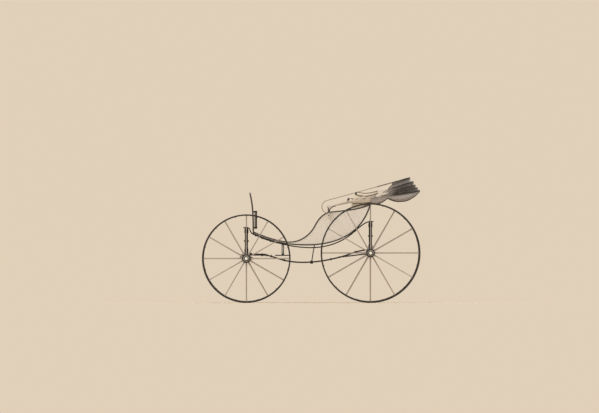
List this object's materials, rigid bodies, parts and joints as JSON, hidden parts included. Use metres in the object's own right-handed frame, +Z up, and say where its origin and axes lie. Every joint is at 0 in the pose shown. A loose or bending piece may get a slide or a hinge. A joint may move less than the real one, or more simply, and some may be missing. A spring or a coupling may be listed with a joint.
{
  "type": "phaeton carriage",
  "caption": "Light horse-drawn phaeton with a low padded seat, curved dash, elliptic springs, wooden wheels, steered fore carriage and a folding leather hood.",
  "frame": {"origin": "on the ground under the middle of the bounding box", "axes": "+X forward, +Y to the left side, +Z up"},
  "size_m": [2.5058, 1.54, 1.4413],
  "materials": {
    "tyre_iron": "worn dark iron",
    "black_wood": "black gloss paint on wood",
    "spoke_wood": "drab painted wood",
    "hub_black": "black gloss paint with a pale metal cap",
    "black_iron": "black enamel",
    "strap_leather": "dark harness leather",
    "body_paint": "stone-buff coach varnish",
    "seat_wood": "oiled wood",
    "trim_cloth": "drab wool cloth",
    "hood_leather": "black enamelled leather",
    "bow_paint": "drab paint"
  },
  "bodies": {
    "carriage": {"rear_axle": "black_iron", "rear_axle_bed": "black_wood", "fifth_wheel_upper": "black_iron", "head_block": "black_wood", "king_bolt": "black_iron", "perch": "black_wood", "perch_stays": "black_iron", "front_spring_lower": "black_iron", "front_spring_upper": "black_iron", "rear_spring_lower": "black_iron", "rear_spring_upper": "black_iron", "spring_bars": "black_wood", "body_loops": "black_iron", "check_strap": "strap_leather", "floor_board": "body_paint", "back_board": "body_paint", "side_left": "body_paint", "side_right": "body_paint", "seat_riser": "body_paint", "seat_board": "seat_wood", "seat_cushion": "trim_cloth", "seat_back": "trim_cloth", "seat_roll_lower": "trim_cloth", "seat_roll_upper": "trim_cloth", "dash": "hood_leather", "whip_socket": "black_iron", "steps": "black_iron", "hood_brackets": "bow_paint", "hood_back": "hood_leather"},
    "fore_carriage": {"front_axle": "black_iron", "front_axle_bed": "black_wood", "fifth_wheel_lower": "black_iron", "shaft_couplings": "black_iron"},
    "wheel_front_left": {"tyre_front_left": "tyre_iron", "rim_front_left": "black_wood", "spokes_front_left": "spoke_wood", "hub_front_left": "hub_black"},
    "wheel_front_right": {"tyre_front_right": "tyre_iron", "rim_front_right": "black_wood", "spokes_front_right": "spoke_wood", "hub_front_right": "hub_black"},
    "wheel_rear_left": {"tyre_rear_left": "tyre_iron", "rim_rear_left": "black_wood", "spokes_rear_left": "spoke_wood", "hub_rear_left": "hub_black"},
    "wheel_rear_right": {"tyre_rear_right": "tyre_iron", "rim_rear_right": "black_wood", "spokes_rear_right": "spoke_wood", "hub_rear_right": "hub_black"},
    "bow_1": {"hood_bow_1": "bow_paint"},
    "bow_2": {"hood_bow_2": "bow_paint", "hood_leather_1": "hood_leather"},
    "bow_3": {"hood_bow_3": "bow_paint", "hood_leather_2": "hood_leather"},
    "bow_4": {"hood_bow_4": "bow_paint", "hood_leather_3": "hood_leather"},
    "bow_5": {"hood_bow_5": "bow_paint", "hood_leather_4": "hood_leather"}
  },
  "joints": [
    {"name": "steering", "type": "hinge", "parent": "carriage", "child": "fore_carriage", "pos_m": [0.697, 0, 0.541], "axis": [0, 0, 1], "range_deg": [-20, 20]},
    {"name": "wheel_spin_front_left", "type": "hinge", "parent": "fore_carriage", "child": "wheel_front_left", "pos_m": [0.745, 0.6995, 0.508], "axis": [0, 1, 0], "continuous": true},
    {"name": "wheel_spin_front_right", "type": "hinge", "parent": "fore_carriage", "child": "wheel_front_right", "pos_m": [0.745, -0.6995, 0.508], "axis": [0, 1, 0], "continuous": true},
    {"name": "wheel_spin_rear_left", "type": "hinge", "parent": "carriage", "child": "wheel_rear_left", "pos_m": [-0.681, 0.6995, 0.572], "axis": [0, 1, 0], "continuous": true},
    {"name": "wheel_spin_rear_right", "type": "hinge", "parent": "carriage", "child": "wheel_rear_right", "pos_m": [-0.681, -0.6995, 0.572], "axis": [0, 1, 0], "continuous": true},
    {"name": "hood_turn_5", "type": "hinge", "parent": "carriage", "child": "bow_5", "pos_m": [-0.198, 0, 1.102], "axis": [0, 1, 0], "range_deg": [0, 44]},
    {"name": "hood_turn_4", "type": "hinge", "parent": "bow_5", "child": "bow_4", "pos_m": [-0.198, 0, 1.102], "axis": [0, 1, 0], "range_deg": [0, 12]},
    {"name": "hood_turn_3", "type": "hinge", "parent": "bow_4", "child": "bow_3", "pos_m": [-0.198, 0, 1.102], "axis": [0, 1, 0], "range_deg": [0, 18]},
    {"name": "hood_turn_2", "type": "hinge", "parent": "bow_3", "child": "bow_2", "pos_m": [-0.198, 0, 1.102], "axis": [0, 1, 0], "range_deg": [0, 20]},
    {"name": "hood_turn_1", "type": "hinge", "parent": "bow_2", "child": "bow_1", "pos_m": [-0.198, 0, 1.102], "axis": [0, 1, 0], "range_deg": [0, 14]}
  ],
  "couplings": [
    {"joint": "hood_turn_4", "follows": "hood_turn_5", "ratio": 0.27273},
    {"joint": "hood_turn_3", "follows": "hood_turn_5", "ratio": 0.40909},
    {"joint": "hood_turn_2", "follows": "hood_turn_5", "ratio": 0.45454},
    {"joint": "hood_turn_1", "follows": "hood_turn_5", "ratio": 0.31818}
  ]
}
